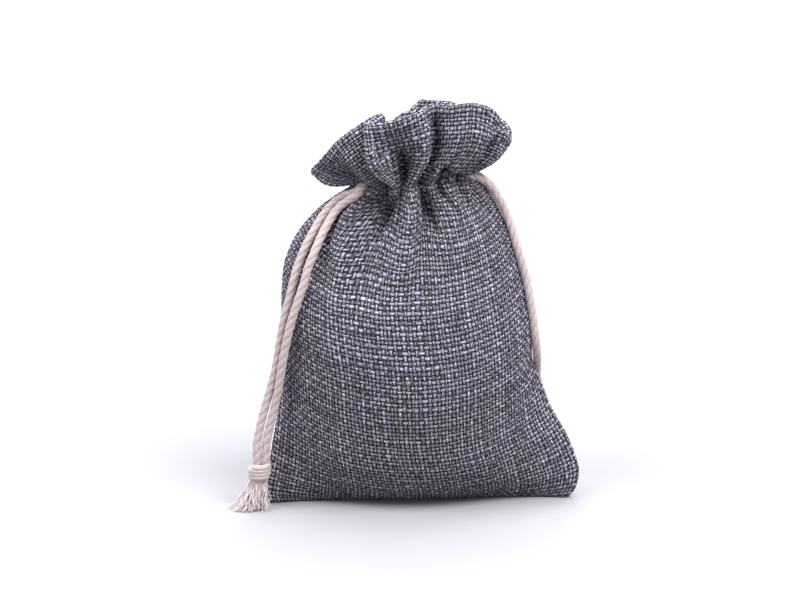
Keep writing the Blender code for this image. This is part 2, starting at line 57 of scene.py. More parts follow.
# --- the cloth (mm) ---
CLOTH_ROUND = 200.0  # round the sack: two panels 100 wide
CORD_LINE = 115.0  # height along the cloth of the channel that holds the cords
RIM_LINE = 141.0  # height along the cloth of the hemmed rim
SPLIT_LINE = 105.0  # where the panels' meshes end and the heading's begin
HEM_LINE = 110.0  # how far down the turned-in hem reaches inside
COLLAR = 0.42  # share of the heading at which the collar row of FOLDS stands
WALL = 1.2  # one layer of the coarse cloth
HEM_WALL = 1.8  # the heading, where the cloth lies double
SEAM_HALF = 1.5  # half the thickness of a sewn edge, with its turnings inside
SEAM_ROLL = 2.1  # along the cloth from a seam's edge to its full thickness
SEAM_FADE = (60.0, 40.0)  # height where a side seam starts to thin, and over how much
SAG_POWER = 0.9  # how squarely a level of the filled panels sags between its seams
FLOOR_PRESS = 1.0  # how far the underside is pressed flat by its own weight
PRESS_FADE = 10.0  # height over which that press dies away
GATHER_REACH = 11.0  # cloth under the cord line that the gathers pull in
GATHER_POWER = 1.5  # how suddenly they do so
DRIFT_DOWN = 20.0  # below the cord line, where FOLDS gives each fold's drift
DRIFT_MOST = 1.4  # the drift's greatest multiple, further down
SWELL_FADE = (80.0, 25.0)  # height where the soft swells start to die away, and over how much
HEM_START = (2.0, 8.0)  # above the cord line: where the cloth doubles, and over how much
RIDGE_FILL = 0.6  # the wall's greatest share of a ridge's radius

# --- the weave ---
WARPS = 166  # yarns that run up the cloth: 1.2 mm apart
WEFTS = 96  # yarns that run round it: 1.47 mm apart
SAMPLES = 4  # mesh columns or rows for each yarn
YARN_UNEVEN = 0.22  # how far a yarn's width strays from the average
YARN_WANDER = 0.16  # mm that a gap between two yarns wanders sideways
YARN_HALF = 0.45  # half a yarn's width, as a share of its pitch
YARN_WAVE = 0.24  # mm that a yarn rises over and dips under the crossing yarns
YARN_ROUND = 0.30  # mm that its middle stands above its edges
THICK_UNEVEN = 0.16  # how far that strays along a yarn
WANDER_STEP, THICK_STEP, TONE_STEP = 7, 6, 5  # crossings over which each of those changes
TONE_SHARES = (0.5, 0.6, 0.3)  # of a yarn's own shade, its slow changes and its single stitches
INNER_HOLLOW = 0.5  # how hollow the flat inner face counts as, which gives it part of the painted shade
NO_YARN = -9.0  # mm, below everything: the gap beside a yarn
STILL_BASE = 3.0  # mm above the bottom seam over which the yarns start to stand out
STILL_RIM = (136.0, 4.0)  # height where they stop wandering near the rim, and over how much
HEM_EDGE = 138.3  # height along the cloth of the shallow dip along the rim,
HEM_EDGE_HALF, HEM_DIP = 0.6, 0.3  # half its width, and its depth
RIM_ROWS = 11  # mesh rows over the hemmed rim: three yarns
RIM_TURN = np.pi * np.arange(1, RIM_ROWS + 1) / (RIM_ROWS + 1)

# --- the cords (mm) ---
CORD_RADIUS = 1.25  # of the cord drawn tight, as its solid has it
CORD_LOFT = 0.12  # what its loose outer fibres add
CORD_LAY = 10.0  # length of one full turn of the twist
PLIES = 3
CORD_DIP = 0.15  # share of the radius that the plies' dips take off
YARNS_ROUND = 24  # fine yarns round the cord
YARN_LAY = 9.0  # length of one full turn of those, which twist the other way
YARN_DIP = 0.045  # share of the radius that their dips take off
CORD_ROW = 0.32  # distance between two rings of a cord's mesh
CORD_COLUMNS = 40
CORD_ANGLES = 2 * np.pi * np.arange(CORD_COLUMNS) / CORD_COLUMNS
PLY_BACK = 0.7  # how round a ply's back is between its dips
ROUTE_STEPS = 20  # fine steps for each point of a route
CORD_ENDS = 3.5  # how far each strand runs on down into its knot
CORD_STARTS = {  # where each end comes out of its channel, hidden in the neck's folds
    "left_cord_outer": (-18.4, -2.0, 103.4),
    "left_cord_inner": (-17.6, -3.4, 103.2),
    "right_cord_outer": (12.6, -0.6, 106.0),
    "right_cord_inner": (12.4, 3.6, 105.8),
}

# --- the knots and frayed ends (mm) ---
WRAP_RADIUS = 0.95  # the strand that is wound round in the knot
WRAP_TURNS = 3.75
WRAP_START = 2.6  # radians
WRAP_HALF = (2.75, 2.3)  # half width and half depth of its turns, at its middle line
WRAP_HEART = 0.2  # share of those that its tucked ends keep
WRAP_TUCK = 0.08  # share of its length that goes into each tuck
WRAP_TOP = 0.9  # below the knot's top, where the first turn runs
WRAP_FOOT = 4.9  # and the last
WRAP_TILT = 0.35  # how far each turn leans
WRAP_ROWS = 440
WRAP_LAY = 34.0  # length of one full turn of its twist, opened by the bend
WRAP_YARNS = 15  # fine yarns round it
WRAP_GROOVE = 0.11  # share of its radius that the dips between them take off
FRAYED_YARNS = 230
FRAY_ROOT_HALF = (2.1, 1.7)  # half width and half depth of the bundle inside the knot
FRAY_START = 4.4  # below the knot's top
FRAY_FAN = 1.25  # how much wider than its solid the loose brush lies
FRAY_STRAY = 1.0  # how far a tip strays from its place in the brush
FRAY_PILE = 0.5  # and how high it may lie on the others
FRAY_BEND = (0.45, 0.45, 0.62)  # a yarn's two guide points, as shares of the way to its tip
FRAY_TOUCH = (0.80, 0.80, 1.0)
FRAY_RADIUS = 0.145  # of one yarn
FRAY_TAPER = 0.5  # share of it that is gone at the tip
FRAY_CRIMPS = 3.4  # waves in a yarn
FRAY_CRIMPS_SPREAD = (0.8, 1.25)
FRAY_CRIMP = 0.24  # half height of a wave,
FRAY_CRIMP_UP = 0.25  # and the share of it that goes up and down
FRAY_LENGTH = 13.0  # of the pattern along a yarn
FRAY_APART = 30.0  # between two yarns' places in the pattern
FRAY_SIDEWAYS = (0.3, 0.9, 0.1)  # a direction that no frayed yarn runs along
FRAY_ROWS = 22
FRAY_COLUMNS = 4
GOLDEN_TURN = 2.39996  # radians: spreads points evenly over a disc

# --- the studio ---
SURROUND = 0.90  # strength of the white surround
SURROUND_TINT = "#f4f2ff"
LIGHTS = (  # name, degrees round from the front, degrees up, strength, softness
    ("left light", -60, 54, 2.4, 30),
    ("right light", 48, 56, 4.3, 30),
    ("back light", 172, 66, 4.2, 60),
)
PAPER = "#949397"
PAPER_HALF = 3.0  # metres
PAPER_DROP = -0.0002  # metres under the sack, so that the two faces stay apart

# --- the finishes ---
YARN_SHADES = ((0.0, "#312f37"), (0.5, "#74707e"), (1.0, "#b1acba"))
TONE_RANGE = 3.0  # a yarn's tone runs from minus this, darkest, to this, lightest
FIBRE_ALONG, FIBRE_ACROSS = 0.6, 3.4  # fibre flecks for each yarn pitch
FLECK = (2.6, -1.35)  # how strong they are, and what keeps their average near nothing
WEFT_LIFT = 0.08  # how much lighter the floats of the cross yarns are
BACK_HIGHLIGHT, BACK_HIGHLIGHT_FADE = 0.56, -2.1  # painted highlight: how much lighter a float's middle is, where light catches its round back, and its fading aside
HEM_ROWS = (90.0, 100.0)  # yarns up the cloth and over the rim, some of which catch the light
HEM_BANDS = ((0.0, "#000000"), (0.3, "#808080"), (0.4, "#000000"), (0.5, "#ffffff"),
             (0.75, "#000000"))  # how much, from each share of those yarns on
HEM_LIFT = 0.12  # and how much lighter white is there
PIT_SHADE = "#0a090c"  # painted shade, deep between the yarns
PIT_SHADE_SHARE = 0.95  # how much of that painted shade the deepest places have
PIT_SHADE_HOLLOW = (0.35, 0.9)  # how hollow a place is where its painted shade starts, and where it is full
EDGE_SCALE, EDGE_STRAY = 0.7, 0.30  # noise for each yarn, and yarns that a float's edge strays
CREASE_EDGE = (0.40, 0.57)  # yarns from a float's middle where the painted shade of its crease starts, and is full
FLANK_DROP, END_DROP = -4.0, -2.4  # how steeply a float's back falls to its sides and its ends
BURLAP_RELIEF = 0.45  # mm
TWISTED_COTTON = ("#8b7c79", "#aea19f", "#c6bab9")
# painted light: a paler copy of the cord's shades for the loose frayed fibres, standing in for the
# light they let through
LOOSE_COTTON_LIT = ("#b0a4a3", "#cabfbd", "#dad0ce")
COTTON_STOPS = (0.2, 0.55, 0.85)  # where those three shades stand in the fibres' noise
COTTON_FIBRES = (26.0, 0.9, 1.0)  # fibres round a cord, and how many a mm along it
COTTON_DIP_SHADE = "#5a4340"  # painted shade, a little pink, between two plies
DIP_SHADE_HOLLOW, DIP_SHADE_SHARE = 0.35, 0.6  # how hollow a place starts to take that painted shade, and the most it takes
COTTON_RELIEF = 0.08  # mm


# Levels of the filled sack up to the cord line. For each height along the cloth: where the two
# side seams stand, where the middle of the front and of the back stands, and how sharp the
# section's ends are (1 is a lens with creased ends, 0 an ellipse).
LEVEL_COLUMNS = ("t", "left_x", "left_y", "left_z", "right_x", "right_y", "right_z",
                 "front_y", "front_z", "back_y", "back_z", "lens")
LEVELS = (
    (0.0, -48.4, -6.0, 0.3, 46.5, 0.0, 0.3, 5.0, 0.0, 5.0, 0.0, 1.00),
    (4.0, -49.9, -5.8, 3.9, 49.0, 0.0, 4.2, 1.2, 0.5, 9.0, 0.0, 1.00),
    (9.0, -49.1, -5.5, 8.7, 49.8, 0.0, 9.6, -3.4, 2.5, 14.0, 0.0, 0.95),
    (15.0, -47.9, -5.0, 14.6, 48.2, 0.1, 15.6, -8.4, 5.8, 19.2, 1.8, 0.90),
    (22.0, -46.8, -4.5, 21.3, 45.3, 0.3, 22.1, -13.4, 10.8, 22.8, 7.6, 0.80),
    (32.0, -45.3, -3.6, 30.9, 40.5, 0.5, 30.8, -18.6, 19.4, 24.8, 17.4, 0.65),
    (45.0, -44.1, -2.5, 44.0, 37.2, 0.6, 43.3, -22.6, 31.8, 25.2, 30.6, 0.50),
    (58.0, -43.2, -1.6, 57.3, 35.3, 0.8, 56.2, -24.2, 45.2, 24.8, 43.8, 0.40),
    (70.0, -43.3, -1.0, 69.0, 32.9, 1.0, 68.0, -24.2, 57.6, 23.8, 56.4, 0.30),
    (80.0, -42.6, -0.8, 78.5, 30.4, 1.0, 77.6, -23.0, 68.0, 22.2, 67.0, 0.25),
    (90.0, -38.9, -0.6, 87.2, 27.5, 1.0, 87.0, -20.6, 78.4, 19.6, 77.4, 0.20),
    (98.0, -33.5, -0.5, 93.5, 24.0, 1.0, 93.9, -17.6, 86.6, 16.6, 85.6, 0.15),
    (106.0, -27.0, -0.5, 98.6, 19.6, 0.9, 100.3, -13.0, 94.8, 12.4, 93.8, 0.10),
    (115.0, -16.5, -0.5, 103.4, 12.0, 0.8, 105.6, -7.2, 104.4, 7.4, 104.0, 0.10),
)

# Gathers of the neck, from the left side seam round the front, the right seam and the back.
# s: place along the cloth. under: how far the fold stands out (+) or sinks (-) below the cord
# line. reach: how far down it runs. drift: how far along the cloth it has moved at DRIFT_DOWN
# below that line. Then its places at the neck (x, y), at the collar and at the rim (x, y, z).
FOLD_COLUMNS = ("fold", "s", "under", "reach", "drift", "neck_x", "neck_y",
                "collar_x", "collar_y", "collar_z", "rim_x", "rim_y", "rim_z")
FOLDS = (
    ("left_tip", 0, 1.0, 30, 2, -19.8, -0.8, -28.5, -4.0, 103.6, -34.5, -2.0, 107.0),
    ("left_recess", 8, -7, 48, 6, -16.6, -4.0, -22.5, -3.0, 107.8, -30.4, -6.6, 112.0),
    ("left_wing", 16, 2, 48, 6, -14.0, -7.4, -19.6, -9.6, 110.0, -26.0, -8.5, 118.5),
    ("wing_valley", 28, -11.5, 46, 9, -10.6, -3.6, -11.8, -2.4, 114.0, -13.8, -2.8, 125.4),
    ("tongue", 37, -11.0, 42, 5, -8.6, -9.0, -15.6, -16.2, 111.5, -17.8, -13.4, 124.6),
    ("tongue_dent", 45, -4.0, 34, 1, -5.8, -3.9, -6.2, -4.6, 112.5, -9.3, -14.0, 125.5),
    ("front_lobe", 52, 3.5, 30, -4, -3.6, -8.8, 0.6, -13.2, 114.5, -1.2, -13.0, 128.6),
    ("front_valley", 60, -11.0, 38, -4, -0.8, -3.9, 3.6, -3.8, 114.0, 3.8, -3.7, 129.0),
    ("right_lobe_start", 66, -6.0, 32, -3, 2.8, -7.8, 8.4, -9.6, 116.0, 9.2, -8.6, 129.8),
    ("right_lobe_dip", 70, -1.0, 26, -1, 4.4, -4.0, 11.4, -11.0, 116.5, 13.0, -10.6, 131.0),
    ("right_lobe", 74, 1.0, 20, 0, 7.0, -6.9, 14.8, -12.0, 117.0, 17.2, -11.0, 131.0),
    ("right_lobe_fall", 77, -1.5, 12, 0, 9.4, -3.9, 17.4, -10.0, 116.0, 21.4, -8.6, 129.0),
    ("right_lobe_end", 82, 0.5, 12, 0, 13.2, -4.8, 18.9, -6.6, 115.0, 24.2, -5.8, 124.6),
    ("right_slit", 88, -3.5, 16, 0, 10.6, 0.2, 15.2, -0.8, 112.6, 21.0, -0.6, 121.4),
    ("right_flap", 94, 0.5, 14, 0, 13.6, -0.6, 21.2, -3.6, 111.2, 26.4, -2.8, 119.4),
    ("right_tip", 100, 0.8, 20, 0, 14.6, 2.0, 21.9, 1.2, 109.8, 27.6, 2.4, 115.4),
    ("back_right_valley", 108, -4.0, 34, 0, 9.8, 4.6, 17.5, 6.5, 111.5, 27.2, 9.0, 118.5),
    ("back_right_lobe", 116, 1.5, 30, 0, 11.6, 8.2, 17.0, 11.8, 114.0, 21.0, 13.5, 122.5),
    ("back_right_dip", 124, -5.0, 36, 0, 6.0, 4.4, 9.8, 7.2, 114.5, 13.5, 9.0, 123.5),
    ("back_lobe", 132, 1.5, 32, 0, 4.4, 10.4, 6.8, 14.2, 115.5, 9.5, 15.5, 125.0),
    ("back_dip", 139, -5.5, 38, 0, 0.6, 4.4, 2.0, 8.4, 115.5, 3.2, 13.4, 125.8),
    ("back_crown", 146, 1.5, 34, 0, -2.6, 10.8, -2.0, 14.6, 115.5, -1.0, 15.6, 125.4),
    ("back_crown_dip", 155, -4.5, 32, 0, -6.0, 4.6, -6.4, 6.6, 113.5, -5.2, 10.6, 122.4),
    ("back_left_lobe", 164, 1.5, 34, 0, -9.0, 10.2, -10.6, 13.8, 111.0, -11.0, 16.0, 115.5),
    ("back_left_valley", 172, -5.5, 40, 0, -10.8, 4.2, -13.6, 6.4, 111.0, -16.0, 9.0, 117.0),
    ("back_left_wing", 182, 1.5, 36, 0, -15.2, 8.4, -20.4, 11.0, 108.4, -24.0, 12.6, 111.2),
    ("left_back_dip", 191, -4.0, 38, 0, -15.0, 2.8, -20.6, 3.4, 107.5, -28.5, 5.0, 110.0),
)

# Soft hollows and swells of the filled panels: place on the cloth, half-sizes and how far out.
SWELL_COLUMNS = ("s", "t", "half_s", "half_t", "out")
SWELLS = (
    (14, 66, 16, 12, 1.2),
    (30, 40, 22, 16, -0.8),
    (62, 58, 20, 16, 0.7),
    (84, 30, 12, 16, -1.1),
    (100, 48, 8, 8, -2.2),
    (12, 24, 10, 14, -1.0),
    (150, 60, 26, 18, -1.0),
    (118, 36, 16, 16, 0.8),
    (184, 44, 14, 18, -0.9),
)

# Tight creases that only the thin cloth shows: a trough along a line between two places on the
# cloth, its half width and its depth.
CREASE_COLUMNS = ("s_0", "t_0", "s_1", "t_1", "half", "deep")
CREASES = (
    (29.5, 112, 30.5, 135, 2.2, 2.4),       # beside the tongue, which stands over it
    (45.0, 118, 45.0, 126, 2.0, 2.8),       # the hole under the tongue
    (59.5, 116, 59.5, 135, 2.2, 2.0),
    (67.0, 119, 81.0, 115.5, 1.3, 1.8),     # the crevice over the neck
    (88.0, 118, 90.0, 134, 1.6, 2.2),
    (36.5, 111, 34.5, 98, 2.4, 2.2),        # below the neck
    (60.8, 113, 62.0, 102, 2.0, 2.2),
    (6.0, 106, 18.0, 90, 2.2, 1.8),
    (22.0, 113, 25.0, 100, 1.3, 0.8),
    (44.0, 113, 43.0, 100, 1.2, 0.9),
    (70.0, 113, 73.0, 103, 1.3, 0.8),
    (78.0, 113, 82.0, 104, 1.3, 0.8),
    (86.0, 112, 91.0, 101, 1.3, 0.7),
)

# Routes of the two ends of each cord, from the side of the neck down to the knot (mm).
CORD_ROUTES = {
    "left_cord_outer": (
        (-21.0, -5.0, 101.5), (-23.6, -3.6, 100.4), (-26.2, -3.5, 98.9), (-28.7, -4.3, 96.8),
        (-31.2, -5.8, 93.8), (-33.5, -7.4, 90.3), (-36.0, -9.1, 85.9), (-38.2, -10.0, 80.8),
        (-40.0, -11.0, 75.2), (-41.4, -11.7, 69.4), (-43.0, -12.0, 63.0), (-44.5, -11.8, 55.0),
        (-45.7, -11.6, 47.4), (-47.3, -11.4, 40.6), (-49.2, -11.3, 34.0), (-51.0, -11.3, 26.6),
        (-51.9, -11.4, 21.6), (-52.1, -11.5, 18.0), (-52.1, -11.5, 15.6)),
    "left_cord_inner": (
        (-20.7, -7.9, 101.3), (-22.6, -7.2, 99.8), (-24.8, -6.8, 98.2), (-26.9, -7.4, 96.2),
        (-29.2, -9.4, 93.0), (-31.4, -11.4, 89.2), (-33.6, -13.4, 84.4), (-35.6, -14.4, 79.4),
        (-36.9, -15.0, 74.6), (-38.6, -15.3, 69.6), (-40.7, -15.2, 62.9), (-42.6, -14.7, 54.8),
        (-43.9, -14.0, 47.6), (-45.0, -13.1, 40.4), (-46.3, -12.1, 33.8), (-48.0, -11.6, 26.4),
        (-49.0, -11.5, 21.4), (-49.3, -11.5, 18.0), (-49.3, -11.5, 15.6)),
    "right_cord_outer": (
        (17.3, 0.3, 105.2), (18.9, 0.1, 104.5), (21.4, 0.0, 102.6), (23.8, 0.0, 98.9),
        (26.1, 0.2, 94.2), (28.0, -0.8, 89.3), (29.7, -1.9, 83.7), (31.2, -2.2, 78.5),
        (32.7, -2.4, 73.0), (34.0, -3.2, 66.5), (35.1, -3.6, 59.4), (35.9, -3.5, 53.2),
        (36.3, -1.8, 48.8), (36.6, 1.5, 45.4), (36.6, 4.9, 42.2), (36.7, 7.8, 38.6),
        (37.3, 9.2, 34.2), (38.4, 9.7, 30.2), (40.2, 10.4, 26.2), (42.0, 11.4, 22.2),
        (43.0, 12.1, 19.2), (43.2, 12.3, 17.2), (43.2, 12.3, 15.6)),
    "right_cord_inner": (
        (16.3, 4.4, 105.0), (18.2, 4.5, 104.0), (20.2, 4.6, 101.9), (22.1, 4.5, 98.5),
        (24.0, 5.0, 94.0), (25.6, 6.4, 89.0), (27.1, 8.0, 83.0), (28.4, 9.2, 77.0),
        (29.7, 10.1, 71.0), (30.9, 10.7, 65.0), (32.1, 11.0, 58.0), (33.3, 11.1, 51.0),
        (34.3, 11.8, 44.0), (35.6, 12.3, 37.0), (37.0, 12.8, 30.0), (38.9, 13.0, 23.6),
        (40.0, 12.6, 19.4), (40.4, 12.3, 17.4), (40.4, 12.3, 15.6)),
}

# Knots: middle of the top face, and the frayed end's middle and half spread on the floor.
KNOTS = {
    "left_knot": {"top": (-51.2, -11.5, 15.2), "rest": (-54.6, -12.2), "spread": (4.6, 3.0)},
    "right_knot": {"top": (41.8, 12.3, 15.2), "rest": (43.6, 15.0), "spread": (4.0, 3.4)},
}


def table(columns, rows):
    """A table as arrays by column name; text columns are left out."""
    named = {}
    for place, name in enumerate(columns):
        if not isinstance(rows[0][place], str):
            named[name] = np.array([row[place] for row in rows], float)
    return named


def smooth_through(knots, values, at):
    """Cubic curve through values at knots, with each slope taken from the two neighbours."""
    tail = (1,) * (values.ndim - 1)
    run = np.diff(knots)
    rise = np.diff(values, axis=0) / run.reshape((-1,) + tail)
    slope = np.empty_like(values)
    slope[0], slope[-1] = rise[0], rise[-1]
    before = (run[1:] / (run[1:] + run[:-1])).reshape((-1,) + tail)
    slope[1:-1] = rise[:-1] * before + rise[1:] * (1 - before)
    span = np.clip(np.searchsorted(knots, at, side="right") - 1, 0, len(knots) - 2)
    width = run[span].reshape(at.shape + tail)
    share = ((at - knots[span]) / run[span]).reshape(at.shape + tail)
    start, end = values[span], values[span + 1]
    leave, arrive = slope[span] * width, slope[span + 1] * width
    return (start * (1 + 2 * share) * (1 - share) ** 2 + end * share ** 2 * (3 - 2 * share)
            + leave * share * (1 - share) ** 2 - arrive * share ** 2 * (1 - share))


def smooth_round(knots, values, at):
    """The same curve, closed round the cloth."""
    wrapped = np.concatenate([knots[-3:] - CLOTH_ROUND, knots, knots[:3] + CLOTH_ROUND])
    return smooth_through(wrapped, np.concatenate([values[-3:], values, values[:3]]), at)


def ease(share):
    """0 to 1 with level ends."""
    share = np.clip(share, 0.0, 1.0)
    return share * share * (3 - 2 * share)


def fading(t, start_and_reach):
    """1 up to a height along the cloth, falling to 0 over a reach."""
    start, reach = start_and_reach
    return 1 - ease((t - start) / reach)


def unit(vectors):
    """Vectors at length one."""
    return vectors / (np.linalg.norm(vectors, axis=-1, keepdims=True) + TINY)


def distance_along(line):
    """How far along a line each of its points lies."""
    return np.concatenate([[0.0], np.cumsum(np.linalg.norm(np.diff(line, axis=0), axis=1))])


# --- shape of the cloth ---

def filled_body(s, t):
    """Filled panels without gathers: each level is a lens between its two side seams, blended
    towards an ellipse, sagging in the middle and rolled out to the seams' thickness."""
    level = table(LEVEL_COLUMNS, LEVELS)
    at = {name: smooth_through(level["t"], level[name], t) for name in LEVEL_COLUMNS[1:]}
    front = s <= CLOTH_ROUND / 2
    half = np.where(front, s, CLOTH_ROUND - s) / (CLOTH_ROUND / 2)
    across = (1 - np.cos(math.pi * half)) / 2 * (1 - at["lens"]) + half * at["lens"]
    bulge = np.sin(math.pi * half) * (1 - at["lens"]) + 4 * half * (1 - half) * at["lens"]
    bulge = np.clip(bulge, 0.0, 1.0)
    x, y, z = (at["left_" + axis] + (at["right_" + axis] - at["left_" + axis]) * across
               for axis in "xyz")
    middle_y = (at["left_y"] + at["right_y"]) / 2
    middle_z = (at["left_z"] + at["right_z"]) / 2
    y = y + (np.where(front, at["front_y"], at["back_y"]) - middle_y) * bulge
    z = z + (np.where(front, at["front_z"], at["back_z"]) - middle_z) * bulge ** SAG_POWER
    from_seam = half * (1 - half) * CLOTH_ROUND / 2
    roll = (np.sin(math.pi / 2 * np.clip(from_seam / SEAM_ROLL, 0, 1))
            * np.sin(math.pi / 2 * np.clip(t / SEAM_ROLL, 0, 1)))
    y = y + np.where(front, -SEAM_HALF, SEAM_HALF) * roll * fading(t, SEAM_FADE)
    centre_x = (at["left_x"] + at["right_x"]) / 2
    half_x = (at["right_x"] - at["left_x"]) / 2
    half_y = (at["back_y"] - at["front_y"]) / 2 + 2 * SEAM_HALF
    out_x, out_y = (x - centre_x) / half_x ** 2, (y - middle_y) / half_y ** 2
    length = np.hypot(out_x, out_y) + TINY
    return np.stack([x, y, z], -1), np.stack([out_x / length, out_y / length, 0 * x], -1)


def swell(s, t):
    """Soft hollows and swells: a sum of rounded bumps, in mm out of the cloth."""
    bump = table(SWELL_COLUMNS, SWELLS)
    far_s, far_t = ((at[..., None] - bump[name]) / bump["half_" + name]
                    for name, at in (("s", s), ("t", t)))
    return np.sum(bump["out"] * np.exp(-far_s ** 2 - far_t ** 2), -1)


def heading(s, t):
    """Heading above the cord line: curves up through neck, collar and rim, joined round the sack
    fold by fold."""
    fold = table(FOLD_COLUMNS, FOLDS)
    neck_body, _ = filled_body(fold["s"], np.full(fold["s"].shape, CORD_LINE))
    neck = np.stack([fold["neck_x"], fold["neck_y"], neck_body[:, 2]], -1)
    collar = np.stack([fold["collar_" + axis] for axis in "xyz"], -1)
    rim = np.stack([fold["rim_" + axis] for axis in "xyz"], -1)
    share = (t[:, 0] - CORD_LINE) / (RIM_LINE - CORD_LINE)
    rows = smooth_through(np.array([0.0, COLLAR, 1.0]), np.stack([neck, collar, rim]), share)
    around = smooth_round(fold["s"], np.swapaxes(rows, 0, 1), s[0] % CLOTH_ROUND)
    return np.swapaxes(around, 0, 1)


def cloth(s, t):
    """Outer face of the cloth at every s and t, in mm: the filled body, drawn in at the neck by
    its gathers and pressed flat underneath, and the heading above the cord line."""
    s, t = np.meshgrid(s, t)
    body, outward = filled_body(s, np.minimum(t, CORD_LINE))
    fold = table(FOLD_COLUMNS, FOLDS)
    neck_body, _ = filled_body(fold["s"], np.full(fold["s"].shape, CORD_LINE))
    gather = np.stack([fold["neck_x"], fold["neck_y"]], -1) - neck_body[:, :2]
    pulled = smooth_round(fold["s"], gather, s[0])
    drift = smooth_round(fold["s"], fold["drift"], s[0])
    source = s - drift * np.clip((CORD_LINE - t) / DRIFT_DOWN, 0.0, DRIFT_MOST)
    under = smooth_round(fold["s"], np.stack([fold["under"], fold["reach"]], -1), source)
    near_neck = ease((t - CORD_LINE + GATHER_REACH) / GATHER_REACH) ** GATHER_POWER
    down = ease((t - CORD_LINE + under[..., 1]) / under[..., 1])
    out = under[..., 0] * down * (1 - near_neck) + swell(s, t) * fading(t, SWELL_FADE)
    body = body + outward * out[..., None]
    body[..., :2] += pulled * near_neck[..., None]
    height = body[..., 2]
    body[..., 2] = np.maximum(height - FLOOR_PRESS * np.exp(-height / PRESS_FADE), 0.0)
    above = heading(s, np.maximum(t, CORD_LINE))
    return np.where((t > CORD_LINE)[..., None], above, body)


def creased(s, t):
    """Depth of the tight creases: a sum of rounded troughs, each along its line."""
    crease = table(CREASE_COLUMNS, CREASES)
    from_s, from_t = s[None, :, None] - crease["s_0"], t[:, None, None] - crease["t_0"]
    long_s, long_t = crease["s_1"] - crease["s_0"], crease["t_1"] - crease["t_0"]
    share = np.clip((from_s * long_s + from_t * long_t) / (long_s ** 2 + long_t ** 2), 0.0, 1.0)
    off = np.hypot(from_s - share * long_s, from_t - share * long_t)
    return np.sum(crease["deep"] * np.exp(-(off / crease["half"]) ** 2), -1)


# --- weave ---

def yarn_edges(count, length):
    """Edges of uneven yarns that fill a length: their widths are added up and scaled to fit."""
    widths = 1 + YARN_UNEVEN * chance.uniform(-1, 1, count)
    edges = np.concatenate([[0.0], np.cumsum(widths)])
    return edges * length / edges[-1]


def along_noise(yarns, length, step):
    """Random values that change smoothly along each of many yarns: drawn every step crossings and
    joined by straight lines. One row for each yarn, one column for each of its mesh samples."""
    parts = round(length / step)
    drawn = chance.normal(size=(yarns, parts + 1))
    drawn[:, -1] = drawn[:, 0]
    at = np.linspace(0.0, parts, length * SAMPLES + 1)
    low = np.minimum(at.astype(int), parts - 1)
    part = at - low
    return drawn[:, low] * (1 - part) + drawn[:, low + 1] * part


def wander(edges, length):
    """Sideways stray of the gaps between yarns, in mm: smooth noise along each gap, joined across
    each yarn by straight lines."""
    stray = along_noise(edges, length, WANDER_STEP) * YARN_WANDER
    stray[-1] = stray[0]
    at = np.arange((edges - 1) * SAMPLES + 1) / SAMPLES
    low = np.minimum(at.astype(int), edges - 2)
    part = (at - low)[:, None]
    return stray[low] * (1 - part) + stray[low + 1] * part


def yarn_tones(yarns, length):
    """Light and dark along each yarn: the yarn's own shade, slow slubs and single light or dark
    stitches, as one random value for each mesh sample."""
    own = chance.normal(size=(yarns, 1))
    stitches = chance.normal(size=(yarns, length))
    stitches = stitches[:, np.arange(length * SAMPLES + 1) // SAMPLES % length]
    whole, slow, single = TONE_SHARES
    return whole * own + slow * along_noise(yarns, length, TONE_STEP) + single * stitches


def yarn_top(wave, aside, thick):
    """Top of a yarn: its wave over and under the crossing yarns plus its round back, and far below
    the cloth in the gap beside it."""
    back = np.sqrt(np.clip(1 - (aside / YARN_HALF) ** 2, 0, 1))
    top = YARN_WAVE * wave + YARN_ROUND * thick * back
    return np.where(np.abs(aside) < YARN_HALF, top, NO_YARN)


